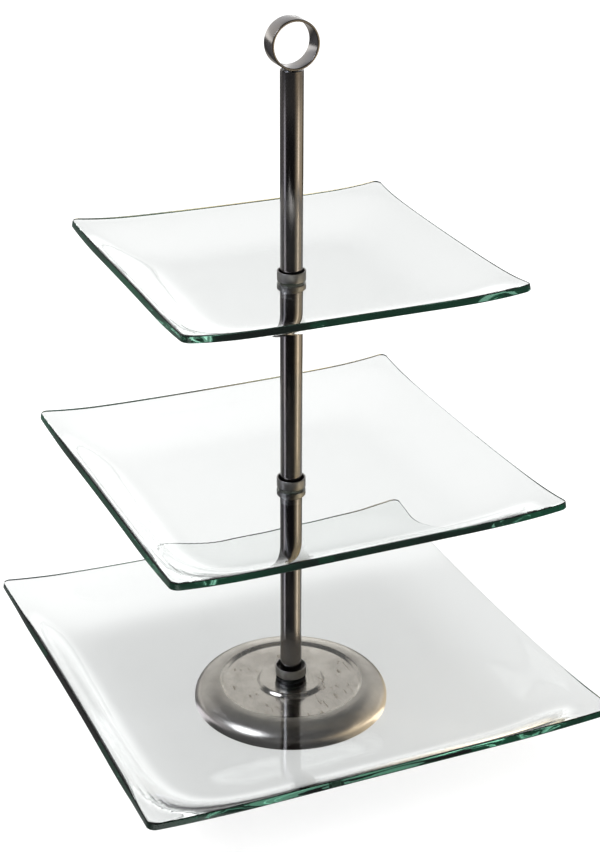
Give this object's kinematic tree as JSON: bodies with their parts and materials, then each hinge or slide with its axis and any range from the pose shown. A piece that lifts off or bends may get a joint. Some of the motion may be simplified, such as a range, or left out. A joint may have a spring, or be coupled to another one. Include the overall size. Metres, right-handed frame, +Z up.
{
  "type": "tiered cake stand",
  "caption": "Square slumped glass plates clamped one above another on a screwed metal column with a round weighted base and a ring handle.",
  "frame": {"origin": "centre of the base's underside, on the column's axis, at the surface that the stand rests on", "axes": "+Z up along the column; X and Y along the edges of the top plate; the ring handle's hole runs along Y"},
  "size_m": [0.2928, 0.2928, 0.4305],
  "materials": {
    "glass": "clear float glass, slumped, with a green ground edge",
    "gunmetal": "brushed dark nickel plate",
    "blasted_nickel": "fine satin nickel plate",
    "satin_nickel": "satin nickel plate on pressed steel",
    "zinc": "bright zinc plate",
    "cast_iron": "raw grey iron",
    "felt": "black felt",
    "rubber": "matt black",
    "nylon": "natural nylon"
  },
  "bodies": {
    "column": {"base_shell": "satin_nickel", "base_weight": "cast_iron", "base_pad": "felt", "base_clamp_washer": "zinc", "base_nut": "zinc", "base_seat_washer": "rubber", "upper_washer_bottom": "nylon", "collar_bottom": "blasted_nickel", "stud_bottom": "zinc", "lower_tube": "gunmetal", "lower_tube_lower_insert": "zinc", "lower_tube_upper_insert": "zinc", "upper_washer_middle": "nylon", "collar_middle": "blasted_nickel", "stud_middle": "zinc", "middle_tube": "gunmetal", "middle_tube_lower_insert": "zinc", "middle_tube_upper_insert": "zinc", "lower_washer_middle": "nylon", "ferrule_middle": "blasted_nickel", "upper_washer_top": "nylon", "collar_top": "blasted_nickel", "stud_top": "zinc", "upper_tube": "gunmetal", "upper_tube_lower_insert": "zinc", "upper_tube_upper_insert": "zinc", "lower_washer_top": "nylon", "ferrule_top": "blasted_nickel", "handle_ring": "gunmetal", "handle_stud": "zinc"},
    "bottom_plate": {"glass_plate_bottom": "glass", "bush_bottom": "nylon"},
    "middle_plate": {"glass_plate_middle": "glass", "bush_middle": "nylon"},
    "top_plate": {"glass_plate_top": "glass", "bush_top": "nylon"}
  },
  "joints": [
    {"name": "bottom_plate_turn", "type": "hinge", "parent": "column", "child": "bottom_plate", "pos_m": [0, 0, 0.0177], "axis": [0, 0, 1], "continuous": true},
    {"name": "middle_plate_turn", "type": "hinge", "parent": "column", "child": "middle_plate", "pos_m": [0, 0, 0.1482], "axis": [0, 0, 1], "continuous": true},
    {"name": "top_plate_turn", "type": "hinge", "parent": "column", "child": "top_plate", "pos_m": [0, 0, 0.2787], "axis": [0, 0, 1], "continuous": true}
  ]
}
